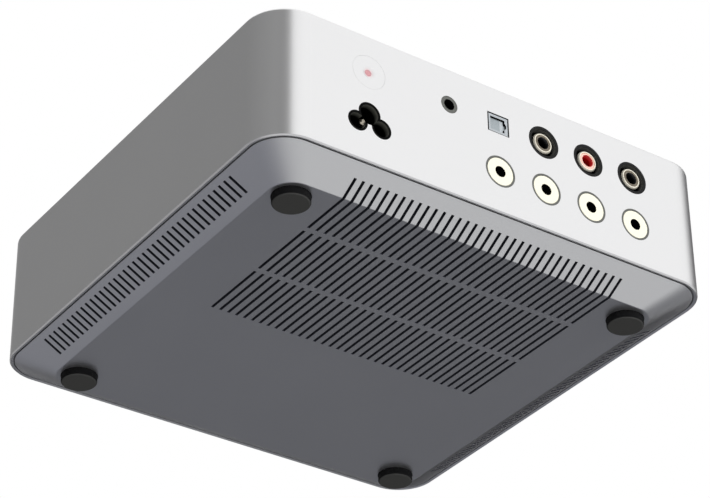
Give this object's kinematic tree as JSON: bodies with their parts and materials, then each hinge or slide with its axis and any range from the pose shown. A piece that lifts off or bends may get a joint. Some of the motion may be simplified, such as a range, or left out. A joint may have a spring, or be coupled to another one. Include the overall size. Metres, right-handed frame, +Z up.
{
  "type": "stereo amplifier",
  "caption": "Low square aluminium stereo amplifier with rounded corners, a vented tray on rubber feet, and audio, speaker and mains sockets in its rear wall.",
  "frame": {"origin": "middle of the footprint, on the surface that the feet stand on", "axes": "+Z up, +Y towards the rear wall with the sockets, -Y the front; +X is the left side seen from behind, next to the mains socket"},
  "size_m": [0.18, 0.18, 0.059],
  "materials": {
    "case_aluminium": "fine satin anodised",
    "tray_aluminium": "fine satin anodised",
    "foot_rubber": "matte",
    "screw_steel": "zinc plated",
    "hex_brass": "turned",
    "board_green": "solder mask",
    "part_black": "moulded",
    "part_yellow": "moulded",
    "terminal_green": "moulded",
    "can_blue": "sleeved can",
    "winding_copper": "enamelled wire",
    "core_dark": "sintered",
    "heat_sink_dark": "black anodised",
    "fuse_metal": "nickel plated",
    "socket_black": "moulded",
    "socket_red": "moulded",
    "socket_grey": "moulded",
    "optical_grey": "moulded",
    "bush_cream": "moulded",
    "nickel": "nickel plated",
    "contact_brass": "plated",
    "lead_red": "wire sheath",
    "lead_brown": "wire sheath",
    "ribbon_grey": "wire sheath",
    "lens_red": "clear moulded"
  },
  "bodies": {
    "case": {"shell": "case_aluminium", "base_tray": "tray_aluminium", "foot_front_left": "foot_rubber", "foot_front_right": "foot_rubber", "foot_rear_left": "foot_rubber", "foot_rear_right": "foot_rubber", "tray_screws": "screw_steel", "board_standoffs": "hex_brass", "board_screws": "screw_steel", "small_screws": "screw_steel", "psu_board": "board_green", "mains_fuse": "fuse_metal", "mains_choke": "winding_copper", "x_capacitor": "part_yellow", "bridge_rectifier": "part_black", "bulk_capacitors": "can_blue", "transformer_core": "core_dark", "transformer_winding": "winding_copper", "psu_heat_sink": "heat_sink_dark", "supply_capacitors": "can_blue", "amp_board": "board_green", "amp_chips": "part_black", "amp_heat_sink": "heat_sink_dark", "output_inductors": "core_dark", "amp_capacitors": "can_blue", "wire_terminals": "terminal_green", "io_board": "board_green", "signal_chips": "part_black", "ribbon_cable": "ribbon_grey", "mains_leads": "lead_brown", "speaker_leads": "lead_red", "phono_body_sub": "socket_black", "phono_body_right": "socket_black", "phono_body_left": "socket_black", "phono_sleeve_sub": "nickel", "phono_sleeve_right": "nickel", "phono_sleeve_left": "nickel", "phono_insulator_sub": "socket_black", "phono_insulator_right": "socket_red", "phono_insulator_left": "socket_black", "phono_contacts": "contact_brass", "speaker_bush_1": "bush_cream", "speaker_bush_2": "bush_cream", "speaker_bush_3": "bush_cream", "speaker_bush_4": "bush_cream", "speaker_collars": "socket_grey", "speaker_contacts": "contact_brass", "speaker_nuts": "screw_steel", "jack_body": "socket_black", "jack_ring": "socket_grey", "optical_housing": "optical_grey", "optical_receiver": "part_black", "mains_inlet": "socket_black", "inlet_pins": "nickel", "button_switch": "part_black", "button_board": "board_green"},
    "button": {"button_cap": "case_aluminium", "button_lens": "lens_red", "switch_plunger": "part_black"},
    "shutter": {"optical_shutter": "optical_grey"}
  },
  "joints": [
    {"name": "button_press", "type": "slide", "parent": "case", "child": "button", "axis": [0, -1, 0], "range_m": [0, 0.0015], "stiffness_N_per_m": 900, "springref_m": -0.0006},
    {"name": "shutter_swing", "type": "hinge", "parent": "case", "child": "shutter", "pos_m": [0.00075, 0.0887, 0.0469], "axis": [-1, 0, 0], "range_deg": [0, 80], "stiffness_Nm_per_rad": 0.0004, "springref_deg": -20.05}
  ]
}
